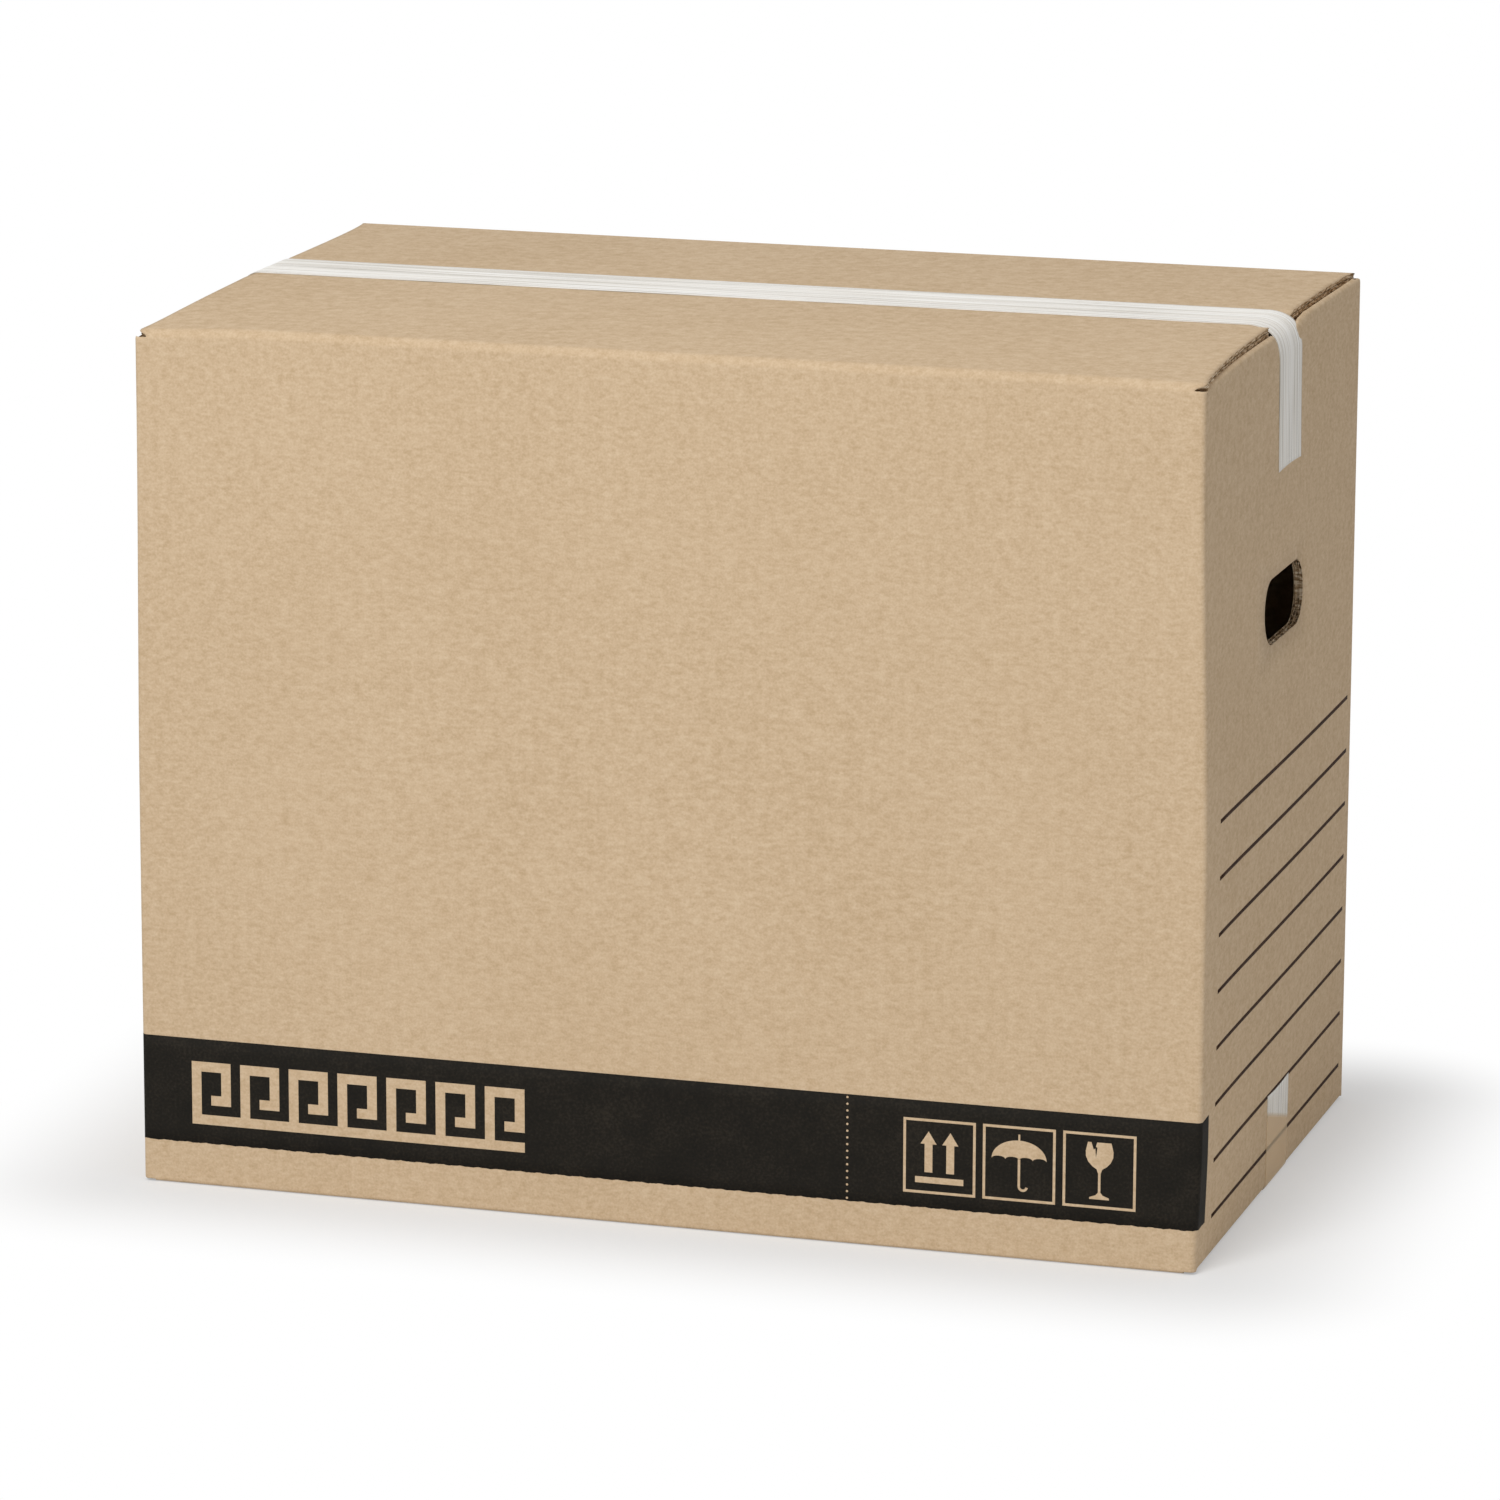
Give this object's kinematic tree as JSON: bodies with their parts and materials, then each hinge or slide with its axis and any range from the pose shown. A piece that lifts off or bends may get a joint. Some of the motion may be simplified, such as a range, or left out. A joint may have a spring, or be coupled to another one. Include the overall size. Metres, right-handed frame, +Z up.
{
  "type": "cardboard box with handles",
  "caption": "Closed double-wall corrugated moving carton with a hand hole in each end, its flaps taped shut along top and bottom.",
  "frame": {"origin": "on the floor, under the middle of the box", "axes": "+X along the length of the box, towards an end panel; +Y across the width, towards the back panel; +Z up"},
  "size_m": [0.5766, 0.354, 0.4656],
  "materials": {
    "kraft_board": "natural brown kraft liner, matt, with black and dark brown print",
    "filament_tape": "translucent film tape with lengthwise glass filaments, low sheen"
  },
  "bodies": {
    "root": {"carton": "kraft_board", "tape_top": "filament_tape", "tape_bottom": "filament_tape"}
  },
  "joints": []
}
